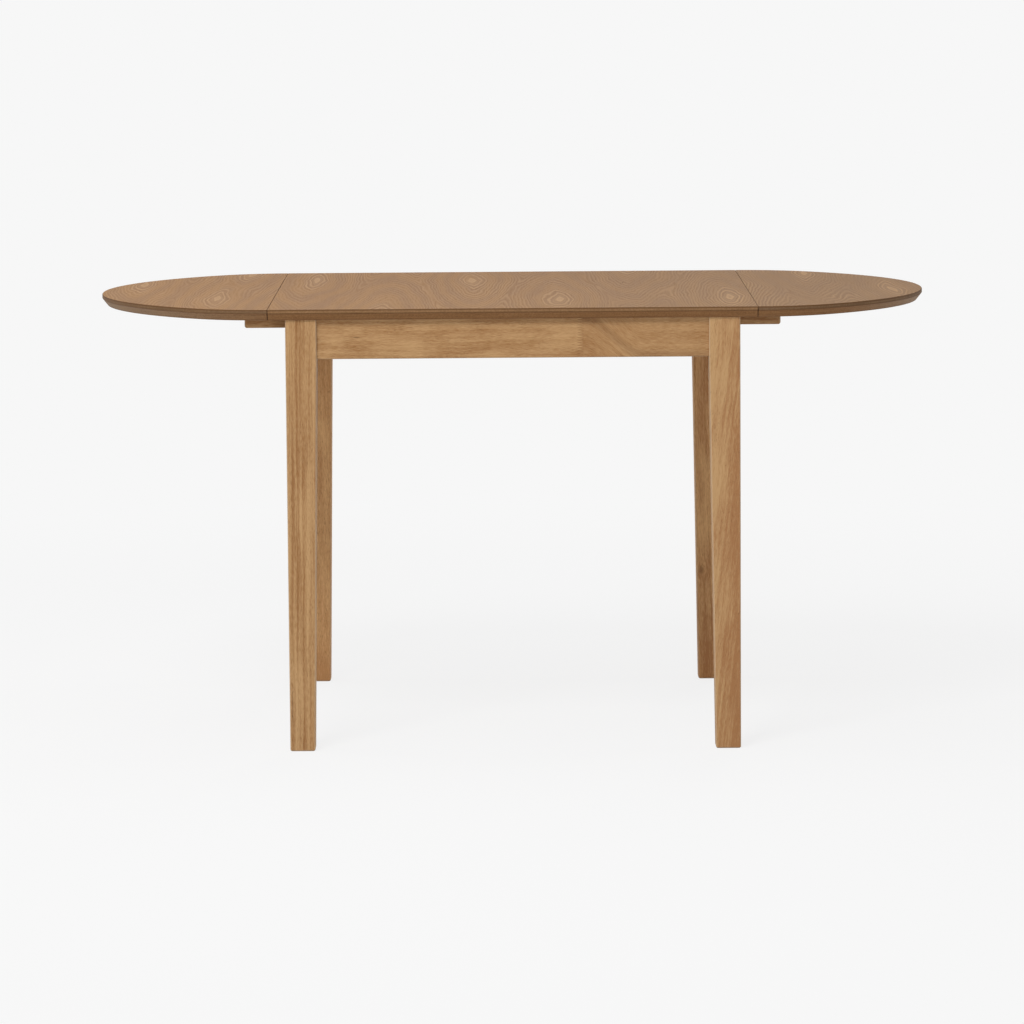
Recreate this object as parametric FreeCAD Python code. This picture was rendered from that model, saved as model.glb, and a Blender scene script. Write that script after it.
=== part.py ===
"""Drop-leaf dining table: a square centre on four tapered legs, with one hinged leaf at each end.

Each leaf rests on two wooden support bars that slide out through notches in the end apron.
Millimetres, +Z up, origin on the floor under the middle of the top.
X runs along the table and the front is -Y.
Most pieces are drawn once, in the right rear quarter, and mirrored to the other quarters.
"""
import FreeCAD, Part
import math
import os

from FreeCAD import Vector

# Overall sizes
table_height = 730.0
table_depth = 800.0
centre_length = 798.0
leaf_reach = 298.0
seam_gap = 0.8

# Top board and its edge section
top_thickness = 18.0
lip_height = 6.5
bevel_inset = 9.0
arris = 1.0
shoulder_relief = 98.0

# Legs and aprons
side_overhang = 28.0
front_overhang = 12.0
leg_square = 51.0
leg_foot = 41.0
leg_edge_ease = 1.5
foot_ease = 2.0
apron_height = 65.0
apron_thickness = 20.0
apron_setback = 6.0
apron_edge_radius = 2.0

# Corner blocks and the bolts that pull the legs in
leg_seat_chamfer = 14.0
block_gap = 3.0
block_thickness = 22.0
block_margin = 4.0
bolt_diameter = 8.0
bolt_depth_in_leg = 34.0
bolt_head_across_flats = 13.0
bolt_head_height = 5.5
bolt_hole_clearance = 0.5
thread_clearance = 0.05
washer_square = 24.0
washer_thickness = 2.0

# Support bars, their guides and the stop blocks that keep them in
bar_height = 22.0
bar_width = 36.0
bar_protrusion = 44.0
bar_travel = 165.0
bar_tail_gap = 58.0
bar_corner_radius = 4.0
lead_in_radius = 210.0
lead_in_start = 4.0
bar_top_clearance = 0.3
bar_side_clearance = 0.5
bar_floor_clearance = 0.4
notch_clearance = 1.0
guide_wall = 12.0
guide_floor = 8.0
guide_to_block = 6.0
guide_edge_chamfer = 3.0
slot_end_land = 22.0
guide_tail_land = 60.0
stop_length = 20.0
stop_width = 12.0
stop_depth_in_bar = 10.0
stop_grip_height = 10.0
stop_grip_chamfer = 3.0
stop_fit_clearance = 0.05
stop_slot_clearance = 0.4

# Hinges
hinges_per_leaf = 3
hinge_length = 38.0
hinge_plate_width = 25.0
hinge_plate_thickness = 1.5
hinge_plate_clip = 4.0
hinge_to_leg = 24.0
hinge_knuckles = 3
knuckle_gap = 0.3
knuckle_swing_clearance = 0.5
knuckle_to_board = 0.3
pin_diameter = 3.0
pin_clearance = 0.05

# Cleats that hold the top to the long aprons
cleat_section = 20.0
cleat_length = 400.0
cleat_edge_chamfer = 2.0

# Levels and lines that the pieces share
underside = table_height - top_thickness
lip_bottom = table_height - lip_height
apron_bottom = underside - apron_height
half_depth = table_depth / 2
half_centre = centre_length / 2
seam_x = half_centre + seam_gap
leg_outer_x = half_centre - side_overhang
leg_outer_y = half_depth - front_overhang
leg_inner_x = leg_outer_x - leg_square
leg_inner_y = leg_outer_y - leg_square
apron_outer_x = leg_outer_x - apron_setback
apron_outer_y = leg_outer_y - apron_setback
apron_inner_x = apron_outer_x - apron_thickness
apron_inner_y = apron_outer_y - apron_thickness

# The leaf outline is two shoulder arcs, smaller than the reach, and a flatter tip arc tangent to both
shoulder_radius = leaf_reach - shoulder_relief
shoulder_centre_y = half_depth - shoulder_radius
tip_radius = (leaf_reach**2 + shoulder_centre_y**2 - shoulder_radius**2) / (2 * shoulder_relief)
tip_centre_x = seam_x + leaf_reach - tip_radius
arc_joint_angle = math.atan2(shoulder_centre_y, seam_x - tip_centre_x)

# The bolts lie on the diagonal of each corner, square to the flat cut on the leg
diagonal = Vector(-1, -1, 0).normalize()
bolt_level = (apron_bottom + underside) / 2
leg_seat = Vector(leg_inner_x + leg_seat_chamfer / 2, leg_inner_y + leg_seat_chamfer / 2, bolt_level)
apron_corner = Vector(apron_inner_x, apron_inner_y, bolt_level)
block_start = (leg_seat - apron_corner).dot(diagonal) + block_gap
block_end = block_start + block_thickness
block_reach = block_end * math.sqrt(2)
washer_start = block_gap + block_thickness
washer_end = washer_start + washer_thickness

# Support bars lie just inside the corner blocks
bar_top = underside - bar_top_clearance
bar_bottom = bar_top - bar_height
guide_outer_y = apron_inner_y - block_reach - guide_to_block
bar_outer_y = guide_outer_y - guide_wall - bar_side_clearance
bar_inner_y = bar_outer_y - bar_width
guide_inner_y = bar_inner_y - bar_side_clearance - guide_wall
bar_middle_y = (bar_outer_y + bar_inner_y) / 2
channel_floor = bar_bottom - bar_floor_clearance
guide_bottom = channel_floor - guide_floor
bar_nose_x = half_centre + bar_protrusion
bar_tail_x = bar_travel + bar_tail_gap / 2
slot_outer_x = apron_inner_x - slot_end_land
stop_outer_x = slot_outer_x - stop_slot_clearance
stop_inner_x = stop_outer_x - stop_length
slot_inner_x = stop_inner_x - bar_travel - stop_slot_clearance
guide_tail_x = slot_inner_x - guide_tail_land
stop_bottom = guide_bottom - stop_grip_height

# Hinge line: the pin hangs below the board so that the knuckles clear it
pin_radius = pin_diameter / 2
knuckle_radius = pin_radius + pin_clearance + hinge_plate_thickness
hinge_x = half_centre + seam_gap / 2
hinge_z = underside - knuckle_radius - knuckle_to_board
plate_bottom = underside - hinge_plate_thickness
outer_hinge_y = leg_inner_y - hinge_to_leg - hinge_length / 2
hinge_pitch = 2 * outer_hinge_y / (hinges_per_leaf - 1)
hinge_places = [outer_hinge_y - index * hinge_pitch for index in range(hinges_per_leaf)]
knuckle_pitch = hinge_length / hinge_knuckles

SIDES = {"left": -1, "right": 1}
ENDS = {"front": -1, "rear": 1}
HINGE_NAMES = ["rear", "middle", "front"]


def box(x_range, y_range, z_range):
    """Box between three pairs of coordinates."""
    low = Vector(min(x_range), min(y_range), min(z_range))
    size = [abs(pair[1] - pair[0]) for pair in (x_range, y_range, z_range)]
    return Part.makeBox(size[0], size[1], size[2], low)


def prism(points, travel):
    """Solid made by moving a flat polygon along a vector."""
    outline = Part.makePolygon(points + points[:1])
    return Part.Face(outline).extrude(travel)


def rod(radius, start, finish):
    """Round bar between two points."""
    axis = finish - start
    return Part.makeCylinder(radius, axis.Length, start, axis)


def flat_sided_bar(sides, across_flats, start, finish):
    """Bar of regular section between two points on a level line, with flats above and below."""
    axis = (finish - start).normalize()
    sideways = axis.cross(Vector(0, 0, 1))
    half_turn = math.pi / sides
    corner_radius = across_flats / 2 / math.cos(half_turn)
    corners = []
    for step in range(sides):
        angle = half_turn * (2 * step + 1)
        lift = Vector(0, 0, corner_radius * math.cos(angle))
        corners.append(start + sideways * (corner_radius * math.sin(angle)) + lift)
    return prism(corners, finish - start)


def edges_where(shape, test):
    """Edges whose box passes the test."""
    return [edge for edge in shape.Edges if test(edge.BoundBox)]


def quarter(shape, side, end):
    """Copy of a right rear piece in the quarter given by two signs."""
    placed = shape
    if side < 0:
        placed = placed.mirror(Vector(0, 0, 0), Vector(1, 0, 0))
    if end < 0:
        placed = placed.mirror(Vector(0, 0, 0), Vector(0, 1, 0))
    return placed


def all_quarters(shape):
    """Copies of a right rear piece in all four quarters."""
    return [quarter(shape, side, end) for side in SIDES.values() for end in ENDS.values()]


def save(name, *solids):
    """Write one node."""
    shape = solids[0] if len(solids) == 1 else Part.makeCompound(list(solids))
    shape.exportStep(os.path.join("parts", name + ".step"))


def edge_steps():
    """Inset and level of each corner of the board's edge, from the top face down to the underside."""
    return [(arris, table_height), (0, table_height - arris), (0, lip_bottom), (bevel_inset, underside)]


def centre_board():
    """Square centre of the top, with its section drawn once and extruded along the table."""
    rear = [Vector(-half_centre, half_depth - inset, level) for inset, level in edge_steps()]
    front = [Vector(-half_centre, inset - half_depth, level) for inset, level in edge_steps()]
    return prism(rear + front[::-1], Vector(centre_length, 0, 0))


def leaf_outline(inset, level):
    """Outline of the right leaf at one level, pulled in by an inset except along the seam."""
    shoulder = shoulder_radius - inset
    tip = tip_radius - inset
    half = half_depth - inset
    middle_angle = (arc_joint_angle + math.pi / 2) / 2

    def on_tip(angle):
        return Vector(tip_centre_x + tip * math.cos(angle), tip * math.sin(angle), level)

    def on_shoulder(angle, end):
        y = shoulder_centre_y + shoulder * math.sin(angle)
        return Vector(seam_x + shoulder * math.cos(angle), end * y, level)

    seam_rear = Vector(seam_x, half, level)
    seam_front = Vector(seam_x, -half, level)
    edges = [
        Part.LineSegment(seam_front, seam_rear),
        Part.Arc(seam_rear, on_shoulder(middle_angle, 1), on_tip(arc_joint_angle)),
        Part.Arc(on_tip(arc_joint_angle), on_tip(0), on_tip(-arc_joint_angle)),
        Part.Arc(on_tip(-arc_joint_angle), on_shoulder(middle_angle, -1), seam_front),
    ]
    return Part.Wire([edge.toShape() for edge in edges])


def leaf_board():
    """Right leaf: the centre board's edge section carried round the leaf's outline."""
    return Part.makeLoft([leaf_outline(inset, level) for inset, level in edge_steps()], True, True)


def leg_section(size, inset, level):
    """Square with eased corners, held to the outer corner of the table frame."""
    x_low = leg_outer_x - size + inset
    y_low = leg_outer_y - size + inset
    x_high = leg_outer_x - inset
    y_high = leg_outer_y - inset
    ease = leg_edge_ease
    corners = [
        Vector(x_low + ease, y_low, level),
        Vector(x_high - ease, y_low, level),
        Vector(x_high, y_low + ease, level),
        Vector(x_high, y_high - ease, level),
        Vector(x_high - ease, y_high, level),
        Vector(x_low + ease, y_high, level),
        Vector(x_low, y_high - ease, level),
        Vector(x_low, y_low + ease, level),
    ]
    return Part.makePolygon(corners + corners[:1])


def leg(bolt_hole):
    """Right rear leg: square beside the aprons, then tapered on its two inner faces."""
    steps = [
        (leg_foot, foot_ease, 0),
        (leg_foot, 0, foot_ease),
        (leg_square, 0, apron_bottom),
        (leg_square, 0, underside),
    ]
    post = Part.makeLoft([leg_section(*step) for step in steps], True, True)
    corner = [
        Vector(leg_inner_x, leg_inner_y, apron_bottom),
        Vector(leg_inner_x + leg_seat_chamfer, leg_inner_y, apron_bottom),
        Vector(leg_inner_x, leg_inner_y + leg_seat_chamfer, apron_bottom),
    ]
    seat = prism(corner, Vector(0, 0, apron_height))
    return post.cut([seat, bolt_hole])


def eased_below(board, radius):
    """Board whose two long lower edges are rounded."""
    half_length = max(board.BoundBox.XLength, board.BoundBox.YLength) / 2
    level = board.BoundBox.ZMin + radius / 2
    lower = edges_where(board, lambda b: b.ZMax < level and max(b.XLength, b.YLength) > half_length)
    return board.makeFillet(radius, lower)


def long_apron():
    """Rear apron, between the two rear legs."""
    board = box((-leg_inner_x, leg_inner_x), (apron_inner_y, apron_outer_y), (apron_bottom, underside))
    return eased_below(board, apron_edge_radius)


def end_apron():
    """Right apron, notched at the top where the two support bars pass."""
    board = box((apron_inner_x, apron_outer_x), (-leg_inner_y, leg_inner_y), (apron_bottom, underside))
    notch_y = (bar_inner_y - notch_clearance, bar_outer_y + notch_clearance)
    notch = box((apron_inner_x, apron_outer_x), notch_y, (channel_floor, underside))
    return eased_below(board, apron_edge_radius).cut([notch, quarter(notch, 1, -1)]).removeSplitter()


def corner_block(bolt_hole):
    """Right rear corner block, glued across the two aprons."""
    corners = []
    for distance in (block_start, block_end):
        reach = distance * math.sqrt(2)
        corners.append(Vector(apron_inner_x - reach, apron_inner_y, apron_bottom + block_margin))
        corners.append(Vector(apron_inner_x, apron_inner_y - reach, apron_bottom + block_margin))
    outline = [corners[0], corners[2], corners[3], corners[1]]
    return prism(outline, Vector(0, 0, apron_height - 2 * block_margin)).cut(bolt_hole)


def past_seat(start, finish):
    """Two points on the bolt line of the right rear corner, as distances past the flat on the leg."""
    return leg_seat + diagonal * start, leg_seat + diagonal * finish


def leg_bolt():
    """Right rear bolt, from inside the leg to its head behind the corner block."""
    shank = rod(bolt_diameter / 2, *past_seat(-bolt_depth_in_leg, washer_end))
    head = flat_sided_bar(6, bolt_head_across_flats, *past_seat(washer_end, washer_end + bolt_head_height))
    return shank.fuse(head)


def leg_bolt_washer(bolt_hole):
    """Right rear square plate washer between the bolt head and the corner block."""
    return flat_sided_bar(4, washer_square, *past_seat(washer_start, washer_end)).cut(bolt_hole)


def guide():
    """Right rear guide: a grooved block with a slot in its floor for the stop block."""
    x = guide_tail_x
    section = [
        Vector(x, guide_inner_y, underside),
        Vector(x, guide_inner_y, guide_bottom + guide_edge_chamfer),
        Vector(x, guide_inner_y + guide_edge_chamfer, guide_bottom),
        Vector(x, guide_outer_y - guide_edge_chamfer, guide_bottom),
        Vector(x, guide_outer_y, guide_bottom + guide_edge_chamfer),
        Vector(x, guide_outer_y, underside),
        Vector(x, bar_outer_y + bar_side_clearance, underside),
        Vector(x, bar_outer_y + bar_side_clearance, channel_floor),
        Vector(x, bar_inner_y - bar_side_clearance, channel_floor),
        Vector(x, bar_inner_y - bar_side_clearance, underside),
    ]
    block = prism(section, Vector(apron_inner_x - guide_tail_x, 0, 0))
    slot_half = stop_width / 2 + stop_slot_clearance
    slot_y = (bar_middle_y - slot_half, bar_middle_y + slot_half)
    slot = box((slot_inner_x, slot_outer_x), slot_y, (guide_bottom, channel_floor))
    return block.cut(slot)


def support_bar():
    """Right rear support bar, whose top falls away on a long arc so that the leaf swings past its nose."""
    arc_start_x = hinge_x - lead_in_start
    arc_centre = Vector(arc_start_x, bar_inner_y, bar_top - lead_in_radius)

    def on_arc(x):
        run = x - arc_start_x
        return Vector(x, bar_inner_y, arc_centre.z + math.sqrt(lead_in_radius**2 - run**2))

    def at(x, z):
        return Vector(x, bar_inner_y, z)

    nose_top = on_arc(bar_nose_x)
    points = [at(bar_tail_x, bar_bottom), at(bar_nose_x, bar_bottom)]
    edges = [
        Part.LineSegment(points[0], points[1]),
        Part.LineSegment(points[1], nose_top),
        Part.Arc(nose_top, on_arc((bar_nose_x + arc_start_x) / 2), at(arc_start_x, bar_top)),
        Part.LineSegment(at(arc_start_x, bar_top), at(bar_tail_x, bar_top)),
        Part.LineSegment(at(bar_tail_x, bar_top), points[0]),
    ]
    side = Part.Face(Part.Wire([edge.toShape() for edge in edges]))
    bar = side.extrude(Vector(0, bar_width, 0))
    nose = edges_where(bar, lambda b: b.XMin > bar_nose_x - bar_corner_radius / 2)
    bar = bar.makeFillet(bar_corner_radius, nose)
    return bar.cut(stop_stem(stop_fit_clearance, bar_bottom))


def stop_stem(margin, low):
    """Upper part of the right rear stop block down to a level, or its mortise when a margin is given."""
    half = stop_width / 2 + margin
    x_range = (stop_inner_x - margin, stop_outer_x + margin)
    z_range = (low, bar_bottom + stop_depth_in_bar + margin)
    return box(x_range, (bar_middle_y - half, bar_middle_y + half), z_range)


def stop_block():
    """Block let into the bar that runs in the guide slot and hangs below it as a finger grip."""
    block = stop_stem(0, stop_bottom)
    lower = edges_where(block, lambda b: b.ZMax < stop_bottom + stop_grip_chamfer / 2)
    return block.makeChamfer(stop_grip_chamfer, lower)


def hinge_plate(middle_y, direction, own_knuckles):
    """One hinge plate at the right seam: direction -1 lies under the centre and 1 under the leaf."""
    y_low = middle_y - hinge_length / 2
    y_high = y_low + hinge_length
    edge_x = hinge_x + direction * hinge_plate_width
    clip_x = edge_x - direction * hinge_plate_clip
    outline = [
        Vector(hinge_x, y_low, plate_bottom),
        Vector(clip_x, y_low, plate_bottom),
        Vector(edge_x, y_low + hinge_plate_clip, plate_bottom),
        Vector(edge_x, y_high - hinge_plate_clip, plate_bottom),
        Vector(clip_x, y_high, plate_bottom),
        Vector(hinge_x, y_high, plate_bottom),
    ]
    plate = prism(outline, Vector(0, 0, hinge_plate_thickness))
    clear_x = hinge_x + direction * (knuckle_radius + knuckle_swing_clearance)
    knuckles = []
    reliefs = []
    for index in range(hinge_knuckles):
        start = y_low + index * knuckle_pitch
        finish = start + knuckle_pitch
        if index in own_knuckles:
            gap_low = knuckle_gap / 2 if index > 0 else 0
            gap_high = knuckle_gap / 2 if index < hinge_knuckles - 1 else 0
            ends = [Vector(hinge_x, start + gap_low, hinge_z), Vector(hinge_x, finish - gap_high, hinge_z)]
            knuckles.append(rod(knuckle_radius, *ends))
        else:
            reach_y = (start - knuckle_gap / 2, finish + knuckle_gap / 2)
            reliefs.append(box((hinge_x, clear_x), reach_y, (plate_bottom, underside)))
    bore = rod(pin_radius + pin_clearance, Vector(hinge_x, y_low, hinge_z), Vector(hinge_x, y_high, hinge_z))
    return plate.cut(reliefs).fuse(knuckles).removeSplitter().cut(bore)


def hinge_pin(middle_y):
    """Pin of one hinge at the right seam."""
    half = hinge_length / 2
    ends = [Vector(hinge_x, middle_y - half, hinge_z), Vector(hinge_x, middle_y + half, hinge_z)]
    return rod(pin_radius, *ends)


def cleat():
    """Rear cleat in the corner between the rear apron and the top."""
    x = -cleat_length / 2
    front = apron_inner_y - cleat_section
    low = underside - cleat_section
    section = [
        Vector(x, apron_inner_y, underside),
        Vector(x, apron_inner_y, low),
        Vector(x, front + cleat_edge_chamfer, low),
        Vector(x, front, low + cleat_edge_chamfer),
        Vector(x, front, underside),
    ]
    return prism(section, Vector(cleat_length, 0, 0))


def build_hinges():
    """Plates and pins of every hinge."""
    fixed_knuckles = range(0, hinge_knuckles, 2)
    moving_knuckles = range(1, hinge_knuckles, 2)
    for place, y in zip(HINGE_NAMES, hinge_places):
        fixed_plate = hinge_plate(y, -1, fixed_knuckles)
        moving_plate = hinge_plate(y, 1, moving_knuckles)
        for side, sign in SIDES.items():
            save(f"{side}_{place}_hinge_frame_plate", quarter(fixed_plate, sign, 1))
            save(f"{side}_{place}_hinge_leaf_plate", quarter(moving_plate, sign, 1))
            save(f"{side}_{place}_hinge_pin", quarter(hinge_pin(y), sign, 1))


def build_frame():
    """Legs, aprons, cleats, corner blocks and their bolts."""
    block_hole = rod(bolt_diameter / 2 + bolt_hole_clearance, *past_seat(0, washer_end))
    leg_hole = rod(bolt_diameter / 2 + thread_clearance, *past_seat(-bolt_depth_in_leg, block_gap))
    for side, side_sign in SIDES.items():
        save(f"{side}_apron", quarter(end_apron(), side_sign, 1))
        for end, end_sign in ENDS.items():
            save(f"{end}_{side}_leg", quarter(leg(leg_hole), side_sign, end_sign))
            save(f"{end}_{side}_corner_block", quarter(corner_block(block_hole), side_sign, end_sign))
    for end, end_sign in ENDS.items():
        save(f"{end}_apron", quarter(long_apron(), 1, end_sign))
        save(f"{end}_top_cleat", quarter(cleat(), 1, end_sign))
    save("leg_bolts", *all_quarters(leg_bolt()))
    save("leg_bolt_washers", *all_quarters(leg_bolt_washer(block_hole)))


def build_supports():
    """Guides, support bars and stop blocks."""
    for side, side_sign in SIDES.items():
        for end, end_sign in ENDS.items():
            save(f"{end}_{side}_support_guide", quarter(guide(), side_sign, end_sign))
            save(f"{end}_{side}_support_bar", quarter(support_bar(), side_sign, end_sign))
            save(f"{end}_{side}_stop_block", quarter(stop_block(), side_sign, end_sign))


def build_top():
    """Centre board and the two leaves."""
    save("centre_top", centre_board())
    for side, sign in SIDES.items():
        save(f"{side}_leaf", quarter(leaf_board(), sign, 1))


def build_table():
    """Write every node of the table."""
    os.makedirs("parts", exist_ok=True)
    build_top()
    build_frame()
    build_supports()
    build_hinges()


build_table()
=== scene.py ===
"""Looks of a drop-leaf dining table: veneered top, solid wood frame, steel fittings and a pale studio.

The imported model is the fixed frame. Sizes are metres, X runs along the table and the front is -Y.
"""
import math

import bmesh
import bpy
from mathutils import Matrix, Vector


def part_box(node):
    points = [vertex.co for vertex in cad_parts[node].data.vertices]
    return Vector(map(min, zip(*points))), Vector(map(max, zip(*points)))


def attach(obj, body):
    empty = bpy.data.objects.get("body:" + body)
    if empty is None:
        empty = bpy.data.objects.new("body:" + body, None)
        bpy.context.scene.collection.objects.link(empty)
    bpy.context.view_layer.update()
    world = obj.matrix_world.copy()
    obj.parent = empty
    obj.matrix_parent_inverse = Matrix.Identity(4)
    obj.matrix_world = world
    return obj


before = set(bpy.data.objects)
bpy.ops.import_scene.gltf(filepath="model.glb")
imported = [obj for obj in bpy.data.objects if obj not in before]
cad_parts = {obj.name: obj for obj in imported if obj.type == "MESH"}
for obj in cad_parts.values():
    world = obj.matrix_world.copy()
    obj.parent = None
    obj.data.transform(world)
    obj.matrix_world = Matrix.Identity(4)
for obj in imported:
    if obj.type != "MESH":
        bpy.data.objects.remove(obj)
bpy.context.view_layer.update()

bl_info = {
    "name": "Drop-leaf table",
    "version": (1, 0, 0),
    "blender": (4, 5, 0),
    "location": "View3D > Sidebar > Table",
    "description": "Finishes, screws and studio for a drop-leaf dining table",
    "category": "Object",
}

SIDES = {"left": -1, "right": 1}
ENDS = ("front", "rear")
CORNERS = [f"{end}_{side}" for end in ENDS for side in SIDES]
HINGE_PLACES = ("front", "middle", "rear")

# Lowest and highest corner of the centre of the top, read from the frame
TOP_LOW, TOP_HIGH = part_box("centre_top")


def colour_property(name, description, default):
    """Linear colour that a user may change."""
    return bpy.props.FloatVectorProperty(
        name=name, description=description, default=default, subtype="COLOR", size=3, min=0, max=1
    )


def length_property(name, description, default):
    """Length in metres that a user may change."""
    return bpy.props.FloatProperty(
        name=name, description=description, default=default, subtype="DISTANCE", unit="LENGTH", precision=5
    )


def angle_property(name, description, default_degrees):
    """Angle that a user may change."""
    return bpy.props.FloatProperty(
        name=name, description=description, default=math.radians(default_degrees),
        subtype="ANGLE", unit="ROTATION",
    )


def level_property(name, description, default):
    """Plain number that a user may change."""
    return bpy.props.FloatProperty(name=name, description=description, default=default, min=0)


class TopSettings(bpy.types.PropertyGroup):
    """Veneer and edging of the three boards of the top."""

    ground: colour_property("Ground", "Greyer bands of the veneer", (0.304, 0.177, 0.097))
    ochre: colour_property("Ochre", "Yellower bands of the veneer", (0.357, 0.203, 0.098))
    pale_line: colour_property("Pale line", "Thin early line of each growth ring", (0.455, 0.282, 0.152))
    # Painted shade and reflection: a greyer, darker veneer towards the right end
    right_painted_shade: colour_property("Faded veneer", "Greyer veneer towards the right end", (0.280, 0.183, 0.113))
    late_line: colour_property("Late line", "Darker late part of each growth ring", (0.232, 0.122, 0.056))
    pores: colour_property("Pores", "Open pores of the veneer", (0.170, 0.092, 0.046))
    lip: colour_property("Lip", "Stained upright part of the edge", (0.220, 0.116, 0.047))
    leaf_lip: colour_property("Leaf lip", "Darker stain of the leaves' lip", (0.150, 0.086, 0.042))
    bevel: colour_property("Bevel", "Stained slope under the edge", (0.243, 0.118, 0.045))
    # Painted reflection and light: a greyer, paler colour on the leaves' bevels towards their tips
    tip_painted_reflection: colour_property("End stain", "Greyer stain where the grain ends", (0.285, 0.195, 0.122))
    edge_pale: colour_property("Pale streak", "Paler streaks along the edge", (0.360, 0.205, 0.098))
    # Edge line: dark streaks and lines along the edge, and also the colour of the painted shade along the
    # bottom of the bevel and at the seams
    edge_line_and_shade: colour_property("Edge line", "Dark streaks and lines along the edge", (0.110, 0.050, 0.019))
    backing: colour_property("Backing", "Plain veneer of the underside", (0.360, 0.225, 0.130))
    ring_spacing: length_property("Ring spacing", "Distance between fine growth rings", 0.0048)
    eye_spacing: length_property("Eye spacing", "Distance between the broad pale rings of an eye", 0.0064)
    band_spacing: length_property("Band spacing", "Distance between bands of tone across the grain", 0.030)
    slenderness: level_property("Slenderness", "Length of an eye in the grain over its width", 9.0)
    lip_height: length_property("Lip height", "Height of the upright part of the edge", 0.0065)
    roughness: level_property("Roughness", "Roughness of the lacquer", 0.72)
    gloss: level_property("Gloss", "Strength of the lacquer's reflection", 0.08)
    edge_coat: level_property("Edge coat", "Strength of the clear coat on the edge", 0.16)
    ease: length_property("Ease", "Rounding of the sharp edges of a board", 0.0002)


class WoodSettings(bpy.types.PropertyGroup):
    """Solid wood of the frame and of the pieces under the top."""

    pale: colour_property("Pale", "Pale wood between the rings", (0.462, 0.277, 0.125))
    warm: colour_property("Warm", "Redder wood in the rings", (0.272, 0.128, 0.044))
    pores: colour_property("Pores", "Dark open pores", (0.130, 0.060, 0.024))
    # Painted highlight: the paler colour painted on the eased edges of the wood
    painted_edge_highlight: colour_property("Worn edge", "Paler wood on eased edges", (0.520, 0.385, 0.262))
    red: colour_property("Red wood", "Reddest wood of the front right leg", (0.322, 0.152, 0.058))
    # Painted light: the rear legs' tones are paler than the front legs' to lift legs that stand in shade
    # under the top; the rear right leg's reddest tone also carries painted shade at its top and near the
    # floor
    rear_pale_painted_light: colour_property("Rear pale", "Pale wood of the rear legs", (0.640, 0.375, 0.165))
    rear_warm_painted_light: colour_property("Rear warm", "Redder wood of the rear legs", (0.430, 0.212, 0.082))
    rear_red_painted_light: colour_property("Rear red", "Reddest wood of the rear right leg", (0.370, 0.165, 0.060))
    bare_pale: colour_property("Bare pale", "Pale tone of the unstained inner wood", (0.540, 0.360, 0.200))
    bare_warm: colour_property("Bare warm", "Warm tone of the unstained inner wood", (0.385, 0.232, 0.118))
    ring_spacing: length_property("Ring spacing", "Distance between growth rings", 0.0075)
    finger_length: length_property("Finger length", "Length of the fingers where two staves join", 0.010)
    finger_pitch: length_property("Finger pitch", "Spacing of the fingers where two staves join", 0.0042)
    sweep_length: length_property("Sweep length", "Length of the second stave's slanting grain", 0.10)
    sweep_drop: length_property("Sweep drop", "How far the slanting grain falls", 0.06)
    roughness: level_property("Roughness", "Roughness of the oiled wood", 0.58)
    gloss: level_property("Gloss", "Strength of the oiled wood's reflection", 0.22)
    ease: length_property("Ease", "Rounding of sharp wooden edges", 0.0006)


class MetalSettings(bpy.types.PropertyGroup):
    """Hinges, bolts and screws."""

    nickel: colour_property("Nickel", "Plated hinge steel", (0.560, 0.535, 0.495))
    zinc: colour_property("Zinc", "Plated bolts and screws", (0.590, 0.600, 0.610))
    dull: colour_property("Dull", "Stains on the plating", (0.270, 0.255, 0.235))
    plate_thickness: length_property("Plate thickness", "Thickness of a hinge plate", 0.0015)
    head_radius: length_property("Head radius", "Radius of a screw head", 0.0030)
    head_rise: length_property("Head rise", "Height of a screw head above its seat", 0.0009)
    recess_width: length_property("Recess width", "Width of each arm of the cross recess", 0.0009)
    recess_depth: length_property("Recess depth", "Depth of the cross recess", 0.0007)
    ease: length_property("Ease", "Rounding of sharp metal edges", 0.00015)


class StageSettings(bpy.types.PropertyGroup):
    """Backdrop, light and camera."""

    backdrop: colour_property("Backdrop", "Pale floor and background", (0.930, 0.930, 0.930))
    floor_bounce: colour_property("Floor bounce", "Colour that the floor reflects", (0.60, 0.60, 0.60))
    shadow_share: level_property("Shadow share", "How much of the shadow on the floor shows", 0.12)
    room_light: level_property("Room light", "Even light from all round", 0.26)
    overhead_power: level_property("Overhead power", "Watts of the soft box above", 28.0)
    key_power: level_property("Key power", "Watts of the soft box high at the front left", 221.0)
    fill_power: level_property("Fill power", "Watts of the soft box low behind the camera", 190.0)
    side_power: level_property("Side power", "Watts of the soft box low at the left", 40.0)
    end_power: level_property("End power", "Watts of the soft box low at each end of the table", 70.0)
    back_power: level_property("Back power", "Watts of the soft box low behind the table", 240.0)
    camera_x: length_property("Camera X", "Camera place along the table", -0.01218)
    camera_y: length_property("Camera Y", "Camera place in front of the table", -8.38647)
    camera_z: length_property("Camera Z", "Camera height", 1.38188)
    camera_yaw: angle_property("Yaw", "Camera turned to the right", 0.063)
    camera_pitch: angle_property("Pitch", "Camera tilted down", 7.0378)
    camera_roll: angle_property("Roll", "Camera tilted about its view", -0.4211)
    lens: level_property("Lens", "Focal length in millimetres on a 36 mm sensor", 173.122)


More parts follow.
